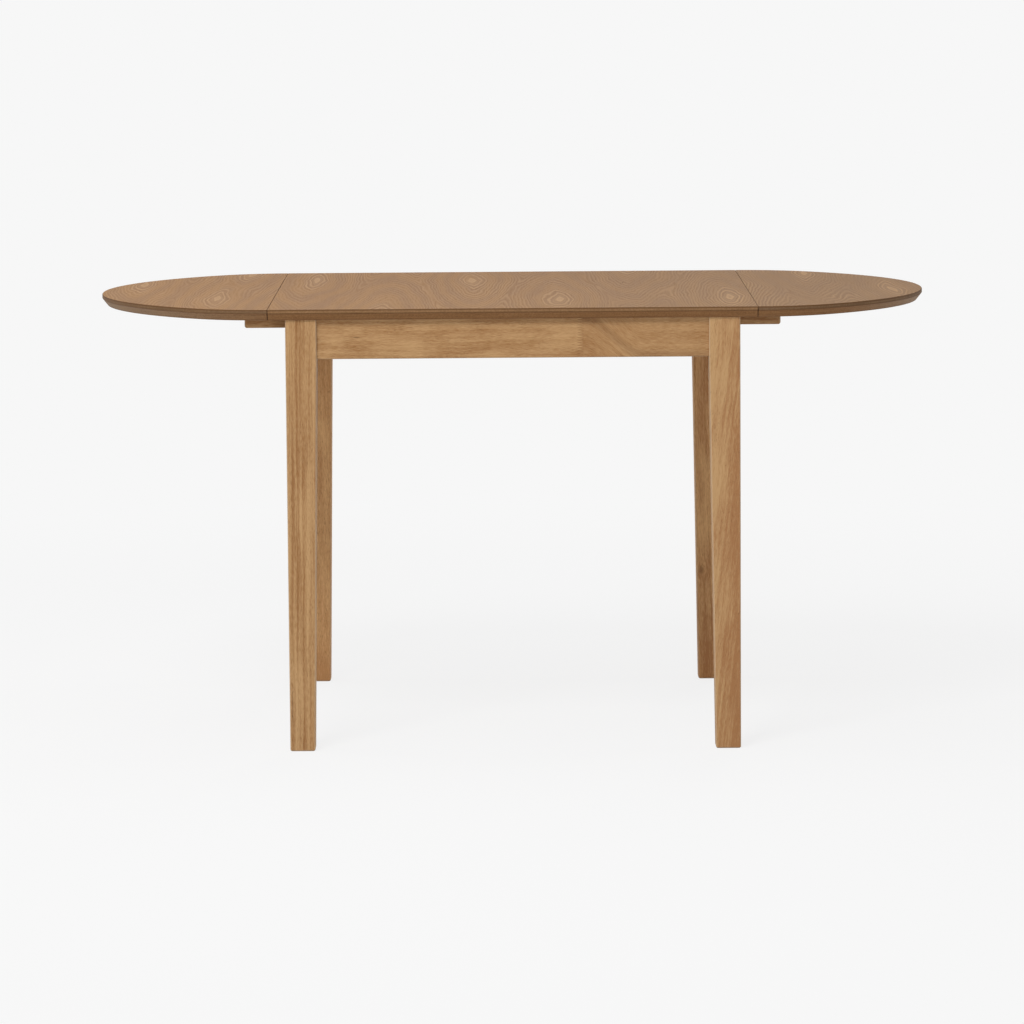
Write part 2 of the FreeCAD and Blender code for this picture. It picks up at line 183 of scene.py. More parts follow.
class Signal:
    """One socket of a material. Arithmetic on it adds Math nodes."""

    def __init__(self, finish, socket):
        self.finish = finish
        self.socket = socket

    def __add__(self, other):
        return self.finish.math("ADD", self, other)

    def __radd__(self, other):
        return self.finish.math("ADD", other, self)

    def __sub__(self, other):
        return self.finish.math("SUBTRACT", self, other)

    def __rsub__(self, other):
        return self.finish.math("SUBTRACT", other, self)

    def __mul__(self, other):
        return self.finish.math("MULTIPLY", self, other)

    def __rmul__(self, other):
        return self.finish.math("MULTIPLY", other, self)

    def __truediv__(self, other):
        return self.finish.math("DIVIDE", self, other)

    def __rtruediv__(self, other):
        return self.finish.math("DIVIDE", other, self)

    def __abs__(self):
        return self.finish.math("ABSOLUTE", self)

    def root(self):
        """Square root."""
        return self.finish.math("SQRT", self)

    def part(self):
        """What is left after the whole number."""
        return self.finish.math("FRACT", self)

    def limited(self):
        """Kept between 0 and 1."""
        return self.finish.add("ShaderNodeClamp", {}, {"Value": self})

    def step(self, low, high):
        """Smooth rise from 0 at low to 1 at high."""
        sockets = {"Value": self, "From Min": low, "From Max": high}
        return self.finish.add("ShaderNodeMapRange", {"interpolation_type": "SMOOTHSTEP"}, sockets)

    def pulse(self, rise, fall):
        """Smooth rise and later fall, each given as where it starts and ends."""
        return self.step(*rise) - self.step(*fall)

    def merged(self, other, reach):
        """Smooth lower of two values."""
        return self.finish.math("SMOOTH_MIN", self, other, reach)

    def axes(self):
        """The three values of a vector."""
        parts = self.finish.add("ShaderNodeSeparateXYZ", {}, {"Vector": self})
        return [Signal(self.finish, output) for output in parts.socket.node.outputs]


class Finish:
    """Nodes of a material, or of the room's light, under construction."""

    MIX_FACTOR, MIX_FIRST, MIX_SECOND, MIX_COLOUR = 0, 6, 7, 2
    # How far each seed moves a cloud, in clouds along each axis
    SEED_SHIFT = (7.13, 3.71, 5.39)

    def __init__(self, owner):
        self.owner = owner
        owner.use_nodes = True
        self.tree = owner.node_tree
        self.tree.nodes.clear()

    def add(self, kind, settings, sockets, output=0):
        """Add a node with its settings, then its sockets' values or links, and give one of its outputs."""
        node = self.tree.nodes.new(kind)
        for name, value in settings.items():
            setattr(node, name, value)
        for name, value in sockets.items():
            if isinstance(value, Signal):
                self.tree.links.new(value.socket, node.inputs[name])
            else:
                node.inputs[name].default_value = value
        return Signal(self, node.outputs[output]) if node.outputs else None

    def math(self, operation, *values):
        """A Math node on up to three values."""
        return self.add("ShaderNodeMath", {"operation": operation}, dict(enumerate(values)))

    def place(self):
        """Place on the piece, in the frame of the table at rest."""
        return self.add("ShaderNodeTexCoord", {}, {}, "Object")

    def edges(self, low, high):
        """Smooth rise from the faces that look along an axis to the eased edges between them."""
        facing = self.add("ShaderNodeTexCoord", {}, {}, "Normal")
        x, y, z = (abs(axis) for axis in facing.axes())
        flat = self.math("MAXIMUM", self.math("MAXIMUM", x, y), z)
        return (1 - flat).step(low, high)

    def noise(self, place, cell, seed, detail=2.0):
        """Cloudy value about 0, with the size of its clouds along each axis."""
        spread = [1 / size for size in cell]
        shift = [seed * part for part in self.SEED_SHIFT]
        sockets = {0: place, 1: spread, 2: shift}
        spot = self.add("ShaderNodeVectorMath", {"operation": "MULTIPLY_ADD"}, sockets)
        cloud = self.add("ShaderNodeTexNoise", {}, {"Vector": spot, "Scale": 1.0, "Detail": detail})
        return cloud - 0.5

    def grain(self, spot, cell, seed, detail=2.0, length=1.0):
        """Cloudy value in solid wood, with the width and length of its clouds across and along the grain."""
        width, run = cell
        return self.noise(spot, (width, width, run * length), seed, detail)

    def mixed(self, share, first, second):
        """Colour between two colours."""
        first, second = (c if isinstance(c, Signal) else (*c, 1.0) for c in (first, second))
        sockets = {self.MIX_FACTOR: share, self.MIX_FIRST: first, self.MIX_SECOND: second}
        return self.add("ShaderNodeMix", {"data_type": "RGBA"}, sockets, self.MIX_COLOUR)

    def bump(self, height, depth):
        """Normal of a surface raised by a height between 0 and 1."""
        return self.add("ShaderNodeBump", {}, {"Height": height, "Strength": 1.0, "Distance": depth})

    def done(self, colour, roughness, normal, further):
        """Join everything to the surface, with further sockets by name, and give the material."""
        sockets = {"Base Color": colour, "Roughness": roughness, "Normal": normal, **further}
        surface = self.add("ShaderNodeBsdfPrincipled", {}, sockets)
        self.add("ShaderNodeOutputMaterial", {"is_active_output": True}, {"Surface": surface})
        return self.owner


def new_finish(name):
    """Empty procedural material."""
    return Finish(bpy.data.materials.new(name))


# Eyes of the veneer: their places on each board, the half width of a core, how round and how pointed they
# are, how softly the rings of two run together, and where the broad pale rings and the pale core end
EYES = {
    "left_leaf": [(-0.631, 0.153), (-0.493, -0.150), (-0.460, 0.360)],
    "centre_top": [
        (-0.346, 0.222), (-0.208, -0.480), (-0.063, 0.200),
        (0.074, -0.215), (0.212, 0.500), (0.360, -0.194),
    ],
    "right_leaf": [(0.645, -0.055), (0.515, 0.330), (0.470, -0.720)],
}
EYE_CORE = 0.0078
EYE_ROUND, EYE_POINT = 0.65, 0.30
EYE_BLEND = 0.02
EYE_RINGS_END = (0.014, 0.032)
EYE_CORE_END = (0.0068, 0.0092)

# Bends of the rings across the grain, and their shift along it: clouds along X, Y and Z, and reach
RING_BENDS = [((0.15, 0.80, 0.15), 0.050), ((0.035, 0.20, 0.035), 0.016), ((0.010, 0.07, 0.010), 0.005)]
RING_SHIFT = ((0.10, 0.40, 0.10), 0.22)

# Where the parts of a ring begin and end, as shares of the ring
EYE_RING = ((0.0, 0.20), (0.30, 0.55))
PALE_RING = ((0.0, 0.20), (0.25, 0.60))
LATE_RING = ((0.50, 0.85), (0.92, 1.0))

# Clouds in the veneer: size along X, Y and Z, and detail
VENEER_CLOUDS = {
    "wander": ((0.03, 0.25, 0.03), 3),
    "patches": ((0.05, 0.30, 0.05), 2),
    "sweep": ((0.08, 0.45, 0.08), 2),
    "fibre": ((0.0013, 0.08, 0.0013), 3),
    "cloud": ((0.12, 0.70, 0.12), 2),
    "pores": ((0.00045, 0.012, 0.00045), 1),
}
# Where the painted shade and reflection towards the right end of the top begin and stop
RIGHT_SHADE_FROM, RIGHT_SHADE_TO = -0.3, 0.6
VENEER_RELIEF = 0.00008

# A small knot in the centre: its place, half width and half length
PIN_KNOT = (0.1916, 0.1238)
PIN_KNOT_WIDTH, PIN_KNOT_LENGTH = 0.0018, 0.018

# Edge of a board: the clouds in its stain, half the gap at a seam, where the parts and dark lines of the
# edge begin and end, how far the painted shade along the bottom of the bevel and at the seams reaches, and
# where the painted reflection on the leaves' bevels begins and stops
EDGE_STREAK = (0.09, 0.09, 0.0011)
EDGE_MOTTLE = (0.0026, 0.0026, 0.0024)
LIP_BLUR = 0.0004
SEAM_BLUR = 0.0006
SEAM_HALF_GAP = 0.0004
SEAM_MIDDLE = TOP_HIGH.x + SEAM_HALF_GAP
LEFT_TIP_REFLECTION, RIGHT_TIP_REFLECTION = (0.30, 0.66), (0.50, 0.72)
TOP_LINE = (TOP_HIGH.z - 0.0030, TOP_HIGH.z - 0.0018)
LOW_LINE = (0.0005, 0.0016)
BEVEL_FOOT_SHADE = (TOP_LOW.z + 0.0006, TOP_LOW.z + 0.0030)
SEAM_SHADE = (0.0004, 0.0018)
FACE_LEVEL = (TOP_HIGH.z - 0.0003, TOP_HIGH.z - 0.0001)
UNDERSIDE_LEVEL = (TOP_LOW.z + 0.00005, TOP_LOW.z + 0.0003)


def ring_field(finish, place, node, seed, look):
    """Value that grows outwards from the eyes of a board. Its level lines are the growth rings."""
    across, along = place.axes()[:2]
    for index, (cell, reach) in enumerate(RING_BENDS):
        across = across + finish.noise(place, cell, seed + index) * reach
    cell, reach = RING_SHIFT
    along = along + finish.noise(place, cell, seed + len(RING_BENDS)) * reach
    field = None
    for eye_x, eye_y in EYES[node]:
        side = across - eye_x
        length = (along - eye_y) / look.slenderness
        rounded = (side * side + length * length + EYE_CORE**2).root()
        pointed = abs(side) + abs(length)
        distance = rounded * EYE_ROUND + pointed * EYE_POINT
        field = distance if field is None else field.merged(distance, EYE_BLEND)
    return field


def edge_stain(finish, place, seed, look):
    """Stained edge of a board: streaks along it, dark lines at the arris and where the lip meets the bevel,
    painted shade along the bottom of the bevel and at the seams, and painted reflection on the leaves'
    bevels towards their tips.
    """
    x, _, z = place.axes()
    lip_low = TOP_HIGH.z - look.lip_height
    streak = finish.noise(place, EDGE_STREAK, seed, 3)
    mottle = finish.noise(place, EDGE_MOTTLE, seed + 1, 3)
    lip = z.step(lip_low - LIP_BLUR, lip_low + LIP_BLUR)
    leaf = abs(x).step(TOP_HIGH.x, TOP_HIGH.x + SEAM_BLUR)
    stain = finish.mixed(lip, look.bevel, finish.mixed(leaf, look.lip, look.leaf_lip))
    # Painted reflection and light grey the leaves' bevels towards their tips, from further in on the left
    tip_reflection = (x * -1).step(*LEFT_TIP_REFLECTION) + x.step(*RIGHT_TIP_REFLECTION)
    stain = finish.mixed(tip_reflection * leaf * (1 - lip) * 0.7, stain, look.tip_painted_reflection)
    stain = finish.mixed((streak * 2.8 + mottle * 2.4 + 0.06).limited() * 0.6, stain, look.edge_line_and_shade)
    stain = finish.mixed((streak * -2.4 - mottle * 2.0).limited() * 0.6, stain, look.edge_pale)

    top_line = z.step(*TOP_LINE) * 0.85
    low_line = (1 - abs(z - lip_low).step(*LOW_LINE)) * 0.65
    # Painted shade: a dark line along the bottom of the bevel and at each seam
    bevel_foot_shade = (1 - z.step(*BEVEL_FOOT_SHADE)) * 0.35
    seam_shade = (1 - abs(abs(x) - SEAM_MIDDLE).step(*SEAM_SHADE)) * 0.6
    lines = low_line + top_line + bevel_foot_shade + seam_shade
    return finish.mixed(lines.limited(), stain, look.edge_line_and_shade)


def veneer(node, seed, look):
    """Crown-cut veneer with long eyes, on a board with a stained edge and a plain underside."""
    finish = new_finish(f"{node} veneer")
    place = finish.place()
    x, y, z = place.axes()
    field = ring_field(finish, place, node, seed, look)
    first_cloud = seed + len(RING_BENDS) + 1
    wander, patches, sweep, fibre, cloud, pores = (
        finish.noise(place, cell, first_cloud + index, detail)
        for index, (cell, detail) in enumerate(VENEER_CLOUDS.values())
    )

    # Fine lines of the growth rings, and a few broad pale rings round each eye
    ring = (field / look.ring_spacing + wander * 1.4).part()
    strength = (patches * 1.8 + 0.50 + fibre * 1.2).limited()
    eye = (field / look.eye_spacing + wander * 0.5).part()
    heart = eye.pulse(*EYE_RING) * (1 - field.step(*EYE_RINGS_END)) * 0.80
    heart = heart + (1 - field.step(*EYE_CORE_END)) * 0.55
    pale = ring.pulse(*PALE_RING) * strength * 0.8 + heart
    late = ring.pulse(*LATE_RING) * strength

    # Broad bands of tone follow the rings, and pores lie along the grain
    band = abs((field / look.band_spacing + sweep * 1.5).part() - 0.5).step(0.08, 0.42)
    pore = pores.step(0.11, 0.19)
    colour = finish.mixed((band * 0.65 + cloud * 1.1 + 0.12).limited(), look.ground, look.ochre)
    # Painted shade and reflection: the veneer turns greyer and darker towards the right end
    colour = finish.mixed(x.step(RIGHT_SHADE_FROM, RIGHT_SHADE_TO) * 0.6, colour, look.right_painted_shade)
    colour = finish.mixed((late * 0.22 + fibre).limited(), colour, look.late_line)
    colour = finish.mixed((pale * 0.80 - fibre * 0.4).limited(), colour, look.pale_line)
    colour = finish.mixed(pore * (0.20 + late * 0.35), colour, look.pores)
    if node == "centre_top":
        knot_x, knot_y = (x - PIN_KNOT[0]) / PIN_KNOT_WIDTH, (y - PIN_KNOT[1]) / PIN_KNOT_LENGTH
        knot = 1 - (knot_x * knot_x + knot_y * knot_y).root().step(0.5, 1.0)
        colour = finish.mixed(knot * 0.7, colour, look.pores)

    # Veneer on the face, stain on the edge and plain veneer below
    face = z.step(*FACE_LEVEL)
    colour = finish.mixed(face, edge_stain(finish, place, seed + 10, look), colour)
    plain = finish.mixed((fibre * 1.3 + cloud * 0.8 + 0.3).limited(), look.backing, look.late_line)
    colour = finish.mixed(z.step(*UNDERSIDE_LEVEL), plain, colour)

    roughness = look.roughness + late * 0.06 + fibre * 0.15 - pale * 0.05
    height = 0.5 + fibre * 0.5 + pale * 0.2 - pore * 0.5
    coat = (1 - face) * look.edge_coat
    lacquer = {"Coat Weight": coat, "Coat Roughness": 0.45, "Specular IOR Level": look.gloss}
    return finish.done(colour, roughness, finish.bump(height, VENEER_RELIEF), lacquer)


# Axes across the grain, the one seen on the show face first
ACROSS = {"X": "ZY", "Y": "ZX", "Z": "XY"}

# Clouds in solid wood: width across the grain and length along it
WAVE, WARP, RIPPLE = (0.020, 0.055), (0.06, 0.22), (0.014, 0.09)
STREAK, BROAD_STREAK, MOTTLE = (0.0030, 0.10), (0.011, 0.20), (0.03, 0.10)
FIBRE, PORE = (0.0010, 0.010), (0.0010, 0.0070)
WAVE_REACH, WARP_REACH, RIPPLE_REACH = 0.006, 0.022, 0.005
LATE_BAND = ((0.20, 0.85), (0.90, 1.0))
WOOD_RELIEF = 0.00010

# A knot: where its dark spot and the grain round it end, in half sizes, and how far the grain gives way
KNOT_EDGE, KNOT_SWIRL = (0.4, 1.2), (0.0, 4.0)
KNOT_BEND = 0.8

# The second stave of a long apron: its dark joint, a streak in it, how far off in the tree it was cut, and
# how much darker and calmer it is
JOINT_BLUR = 0.0002
JOINT_LINE = (0.0004, 0.0012)
SWEEP_STREAK = (0.002, 0.013)
STAVE_ALONG, STAVE_DEEPER = 0.31, 0.043
STAVE_SHADE, STAVE_CALMER = 0.10, 0.5


def bent_round_knots(side, along, marks, middle):
    """Place across the grain as it swirls round a piece's knots and streaks, and how dark they are."""
    dark = 0.0
    for mark_across, mark_along, half_width, half_length, darkness in marks:
        off_side = side - (mark_across - middle)
        wide = off_side / half_width
        long = (along - mark_along) / half_length
        reach = (wide * wide + long * long).root()
        dark = dark + (1 - reach.step(*KNOT_EDGE)) * darkness
        side = side - off_side * (1 - reach.step(*KNOT_SWIRL)) * KNOT_BEND
    return side, dark


def solid_wood(
    name, grain, seed, tones, look, pith=(0.05, 0.07), middle=(0, 0, 0), tilt=0.0, drift=0.0, fade_tone_and_painted_shade=0.0,
    darker=0.0, foot_tone_and_painted_shade=None, figure=1.0, length=1.0, porous=1.0, stave_at=None, marks=(),
):
    """Plain-sawn wood with its rings round a pith beside the piece, and the grain along one axis.

    Drift and the fade setting are the change of tone per metre across the show face and along the grain; the
    change along the grain is partly painted shade. Darker shifts the tone of the whole piece. Figure scales
    the strength of the grain, length its streaks and porous its pores. The foot setting is a further change
    of tone at the floor, partly painted shade, and the height over which it stops. Marks are knots and dark
    streaks, each given as its place across and along the grain, its half width, its half length and its
    darkness.
    """
    finish = new_finish(name)
    axes = dict(zip("XYZ", finish.place().axes()))
    centre = dict(zip("XYZ", middle))
    first, second = ACROSS[grain]
    along = axes[grain]
    side = axes[first] - centre[first]
    depth = axes[second] - centre[second]
    # The change of tone along the grain is partly painted shade
    shade = side * drift + (along - centre[grain]) * fade_tone_and_painted_shade + darker
    # Near the floor the tone changes further, partly painted shade
    if foot_tone_and_painted_shade is not None:
        foot_shade, foot_height = foot_tone_and_painted_shade
        shade = shade + (1 - along.step(0.0, foot_height)) * foot_shade
    side, dark = bent_round_knots(side, along, marks, centre[first])

    # Two staves meet in a comb of fingers, each with a figure of its own
    if stave_at is not None:
        finger = abs((side / look.finger_pitch).part() - 0.5) * (2 * look.finger_length)
        past = along + finger - stave_at
        stave = past.step(-JOINT_BLUR, JOINT_BLUR)
        dark = dark + (1 - abs(past).step(*JOINT_LINE)) * 0.45
        side = side + stave * along.step(stave_at, stave_at + look.sweep_length) * look.sweep_drop
        dark = dark + stave * (1 - abs(side - look.sweep_drop / 2).step(*SWEEP_STREAK)) * 0.26
        along = along + stave * STAVE_ALONG
        depth = depth + stave * STAVE_DEEPER
        shade = shade + stave * STAVE_SHADE
        figure = figure - stave * (figure * STAVE_CALMER)

    # Growth rings round the pith, bent by clouds that run along the grain
    side = side + along * math.tan(math.radians(tilt))
    spot = finish.add("ShaderNodeCombineXYZ", {}, {"X": side, "Y": depth, "Z": along})
    side = side + finish.grain(spot, WAVE, seed + 7, length=length) * WAVE_REACH
    spot = finish.add("ShaderNodeCombineXYZ", {}, {"X": side, "Y": depth, "Z": along})
    warp = finish.grain(spot, WARP, seed) * WARP_REACH
    warp = warp + finish.grain(spot, RIPPLE, seed + 1) * RIPPLE_REACH
    ring_side = side - pith[0] + warp
    ring_depth = depth - pith[1] + warp
    ring = ((ring_side * ring_side + ring_depth * ring_depth).root() / look.ring_spacing).part()
    band = ring.pulse(*LATE_BAND)

    streak = finish.grain(spot, STREAK, seed + 2, length=length)
    broad = finish.grain(spot, BROAD_STREAK, seed + 3, length=length)
    fibre = finish.grain(spot, FIBRE, seed + 4, detail=3)
    cloud = finish.grain(spot, MOTTLE, seed + 5, length=length)
    pore = finish.grain(spot, PORE, seed + 6, detail=1).step(0.10, 0.20)
    pore = pore * (0.55 + cloud * 2.0).limited() * porous
    grain_tone = band * 0.25 + streak * 1.6 + broad * 1.6 - 0.10
    tone = grain_tone * figure + cloud * 1.2 + fibre * 1.7 + shade + 0.43
    pale, warm = tones
    colour = finish.mixed(tone.limited(), pale, warm)
    colour = finish.mixed((pore * 0.45 + dark).limited(), colour, look.pores)

    # Painted highlight: the eased edges are painted paler
    painted_edge_highlight = finish.edges(0.03, 0.24) * (0.55 + cloud * 0.8)
    colour = finish.mixed(painted_edge_highlight.limited(), colour, look.painted_edge_highlight)

    roughness = look.roughness + fibre * 0.2 + pore * 0.15 + band * 0.04
    height = 0.5 + fibre * 0.6 - pore * 0.5
    gloss = {"Specular IOR Level": look.gloss}
    return finish.done(colour, roughness, finish.bump(height, WOOD_RELIEF), gloss)


# Brush marks and stains of plated steel
SCRATCH_LENGTH, SCRATCH_WIDTH = 0.03, 0.0003
STAIN_CELL = (0.009, 0.009, 0.009)
STEEL_RELIEF = 0.00003
POLISHED = 1.35


def plated_steel(name, seed, plating, dull, brushed):
    """Plated steel, brushed along one axis, with dull stains and worn bright edges."""
    finish = new_finish(name)
    place = finish.place()
    scratch_cell = [SCRATCH_LENGTH if axis == brushed else SCRATCH_WIDTH for axis in "XYZ"]
    scratch = finish.noise(place, scratch_cell, seed, 3)
    stain = finish.noise(place, STAIN_CELL, seed + 1, 4).step(0.02, 0.22)
    bright = finish.edges(0.08, 0.28)
    colour = finish.mixed((stain * 0.45 + scratch * 0.5).limited(), plating, dull)
    colour = finish.mixed(bright * 0.35, colour, [min(1.0, part * POLISHED) for part in plating])
    roughness = 0.30 + stain * 0.22 + scratch * 0.25 - bright * 0.06
    return finish.done(colour, roughness, finish.bump(0.5 + scratch, STEEL_RELIEF), {"Metallic": 1.0})


# Points closer than the weld reach are joined, edges sharper than the ease angle are rounded, and faces that
# meet at less than the smooth angle shade as one curve
SMOOTH_ANGLE = math.radians(50)
EASE_ANGLE = math.radians(28)
EASE_SEGMENTS = 2
WELD_REACH = 0.000005


def smooth_by_angle():
    """Modifier group that shades faces smoothly except across sharp edges."""
    name = "Smooth by angle"
    if name in bpy.data.node_groups:
        return bpy.data.node_groups[name]
    tree = bpy.data.node_groups.new(name, "GeometryNodeTree")
    for direction in ("INPUT", "OUTPUT"):
        tree.interface.new_socket("Geometry", in_out=direction, socket_type="NodeSocketGeometry")
    source = tree.nodes.new("NodeGroupInput")
    angle = tree.nodes.new("GeometryNodeInputMeshEdgeAngle")
    gentle = tree.nodes.new("FunctionNodeCompare")
    gentle.operation = "LESS_EQUAL"
    gentle.inputs[1].default_value = SMOOTH_ANGLE
    faces = tree.nodes.new("GeometryNodeSetShadeSmooth")
    edges = tree.nodes.new("GeometryNodeSetShadeSmooth")
    edges.domain = "EDGE"
    result = tree.nodes.new("NodeGroupOutput")
    tree.links.new(source.outputs[0], faces.inputs["Geometry"])
    tree.links.new(faces.outputs[0], edges.inputs["Geometry"])
    tree.links.new(angle.outputs["Unsigned Angle"], gentle.inputs[0])
    tree.links.new(gentle.outputs[0], edges.inputs["Shade Smooth"])
    tree.links.new(edges.outputs[0], result.inputs[0])
    return tree


def soften(piece, width):
    """Round the sharp edges of a piece a little and shade its curves smoothly."""
    weld = piece.modifiers.new("Joined faces", "WELD")
    weld.merge_threshold = WELD_REACH
    ease = piece.modifiers.new("Eased edges", "BEVEL")
    ease.width = width
    ease.segments = EASE_SEGMENTS
    ease.limit_method = "ANGLE"
    ease.angle_limit = EASE_ANGLE
    shade = piece.modifiers.new("Smooth curves", "NODES")
    shade.node_group = smooth_by_angle()
    even = piece.modifiers.new("Even faces", "WEIGHTED_NORMAL")
    even.keep_sharp = True


def dress(node, material, ease):
    """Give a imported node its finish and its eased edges."""
    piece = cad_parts[node]
    piece.data.materials.clear()
    piece.data.materials.append(material)
    soften(piece, ease)


def middle_of(node):
    """Middle of a node's box at rest."""
    low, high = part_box(node)
    return (low + high) / 2


# A screw head: rings and spokes of its mesh, how far the dome closes, its neck below the seat, the reach
# and taper of the recess, how high its cutter stands, and the turn in radians from one screw to the next
HEAD_RINGS, HEAD_SPOKES = 5, 24
DOME_SHARE = 0.94
NECK_SHARE = 0.6
RECESS_REACH, RECESS_TAPER = 0.62, 0.6
CUTTER_RISE = 1.5
SCREW_TURN = 0.9


def screw_head(metal):
    """Raised countersunk head on the plane z = 0, with a cross recess."""
    bm = bmesh.new()
    loops = []
    turn = [2 * math.pi * spoke / HEAD_SPOKES for spoke in range(HEAD_SPOKES)]
    for index in range(HEAD_RINGS):
        quarter = index / (HEAD_RINGS - 1) * math.pi / 2
        radius = metal.head_radius * math.cos(quarter * DOME_SHARE)
        level = metal.head_rise * math.sin(quarter)
        loops.append([bm.verts.new((radius * math.cos(a), radius * math.sin(a), level)) for a in turn])
    rim = [v.co * NECK_SHARE for v in loops[0]]
    loops.insert(0, [bm.verts.new((point.x, point.y, -metal.head_rise)) for point in rim])
    for lower, upper in zip(loops, loops[1:]):
        wall(bm, lower, upper)
    bm.faces.new(loops[-1])
    bm.faces.new(reversed(loops[0]))
    head = object_from(bm, "screw head blank")

    cutter = bmesh.new()
    arm, half_width = metal.head_radius * RECESS_REACH, metal.recess_width / 2
    floor, ceiling = metal.head_rise - metal.recess_depth, metal.head_rise * CUTTER_RISE
    for x, y in ((arm, half_width), (half_width, arm)):
        base = [(-x, -y), (x, -y), (x, y), (-x, y)]
        lower = [cutter.verts.new((a * RECESS_TAPER, b * RECESS_TAPER, floor)) for a, b in base]
        upper = [cutter.verts.new((a, b, ceiling)) for a, b in base]
        cutter.faces.new(reversed(lower))
        cutter.faces.new(upper)
        wall(cutter, lower, upper)
    cross = object_from(cutter, "screw recess")
    recess = head.modifiers.new("Recess", "BOOLEAN")
    recess.object = cross
    recess.operation = "DIFFERENCE"
    recess.use_self = True
    mesh = bpy.data.meshes.new_from_object(head.evaluated_get(bpy.context.evaluated_depsgraph_get()))
    bpy.data.objects.remove(head)
    bpy.data.objects.remove(cross)
    return mesh


def wall(bm, lower, upper):
    """Faces between two loops of as many points."""
    for index, after in enumerate([*range(1, len(lower)), 0]):
        bm.faces.new((lower[index], lower[after], upper[after], upper[index]))


def object_from(bm, name):
    """New object in the scene from a mesh under construction."""
    mesh = bpy.data.meshes.new(name)
    bmesh.ops.recalc_face_normals(bm, faces=bm.faces)
    bm.to_mesh(mesh)
    bm.free()
    piece = bpy.data.objects.new(name, mesh)
    bpy.context.scene.collection.objects.link(piece)
    return piece


def drive_screws(name, seats, body, metal):
    """Set a group of screws on their seats, each given as a place and the way that its head faces."""
    head = screw_head(metal)
    bm = bmesh.new()
    for index, (place, facing) in enumerate(seats):
        turn = Matrix.Rotation(index * SCREW_TURN, 4, "Z")
        upright = Vector(facing).to_track_quat("Z", "Y").to_matrix().to_4x4()
        one = head.copy()
        one.transform(Matrix.Translation(place) @ upright @ turn)
        bm.from_mesh(one)
        bpy.data.meshes.remove(one)
    bpy.data.meshes.remove(head)
    piece = object_from(bm, name)
    piece.data.materials.append(plated_steel(f"{name} zinc", len(seats), metal.zinc, metal.dull, "Z"))
    shade = piece.modifiers.new("Smooth curves", "NODES")
    shade.node_group = smooth_by_angle()
    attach(piece, body)


class TABLE_OT_top(bpy.types.Operator):
    """Veneer the centre and the two leaves"""

    bl_idname = "table.finish_top"
    bl_label = "Finish the top"

    FIRST_SEED, SEED_STEP = 3, 20

    def execute(self, context):
        look = context.scene.table_top
        for index, node in enumerate(EYES):
            dress(node, veneer(node, self.FIRST_SEED + self.SEED_STEP * index, look), look.ease)
        return {"FINISHED"}


class TABLE_OT_legs(bpy.types.Operator):
    """Finish the four legs, each cut from another part of the board"""

    bl_idname = "table.finish_legs"
    bl_label = "Finish the legs"

    FIRST_SEED, SEED_STEP = 5, 11
    # How each leg was cut: its pith, the slope of its grain in degrees, its tones, its knots and streaks.
    # The changes of tone up a leg and near the floor are partly painted shade, for the tops under the table
    # and the rear legs near the floor; the front right leg's redder bottom is its own wood
    FIGURES = {
        "front_left": {
            "pith": (0.035, -0.06), "tilt": -0.4, "darker": -0.03, "fade_tone_and_painted_shade": 0.45, "foot_tone_and_painted_shade": (0.15, 0.15),
            "length": 1.8, "marks": [(-0.3665, 0.072, 0.0014, 0.036, 0.45)],
        },
        "front_right": {
            "pith": (0.025, -0.06), "tilt": -6.5, "drift": 18.0, "darker": 0.02, "fade_tone_and_painted_shade": -0.3,
            "foot_tone_and_painted_shade": (0.24, 0.6), "figure": 0.80, "porous": 1.2,
        },
        "rear_left": {
            "pith": (0.015, -0.06), "tilt": 1.0, "darker": 0.10, "foot_tone_and_painted_shade": (0.7, 0.09),
            "figure": 0.6, "length": 1.4, "porous": 1.5,
        },
        "rear_right": {
            "pith": (0.005, -0.06), "tilt": 1.5, "darker": -0.13, "fade_tone_and_painted_shade": 2.6, "foot_tone_and_painted_shade": (1.48, 0.33),
            "figure": 0.7, "length": 1.4, "marks": [(0.335, 0.197, 0.0055, 0.0075, 0.45)],
        },
    }

    def execute(self, context):
        look = context.scene.table_wood
        # The rear legs take the paler tones, which are painted light
        tones = {
            "front_left": (look.pale, look.warm),
            "front_right": (look.pale, look.red),
            "rear_left": (look.rear_pale_painted_light, look.rear_warm_painted_light),
            "rear_right": (look.rear_pale_painted_light, look.rear_red_painted_light),
        }
        for index, corner in enumerate(CORNERS):
            node = f"{corner}_leg"
            wood = solid_wood(
                f"{node} wood", "Z", self.FIRST_SEED + self.SEED_STEP * index, tones[corner], look,
                middle=middle_of(node), **self.FIGURES[corner],
            )
            dress(node, wood, look.ease)
        return {"FINISHED"}


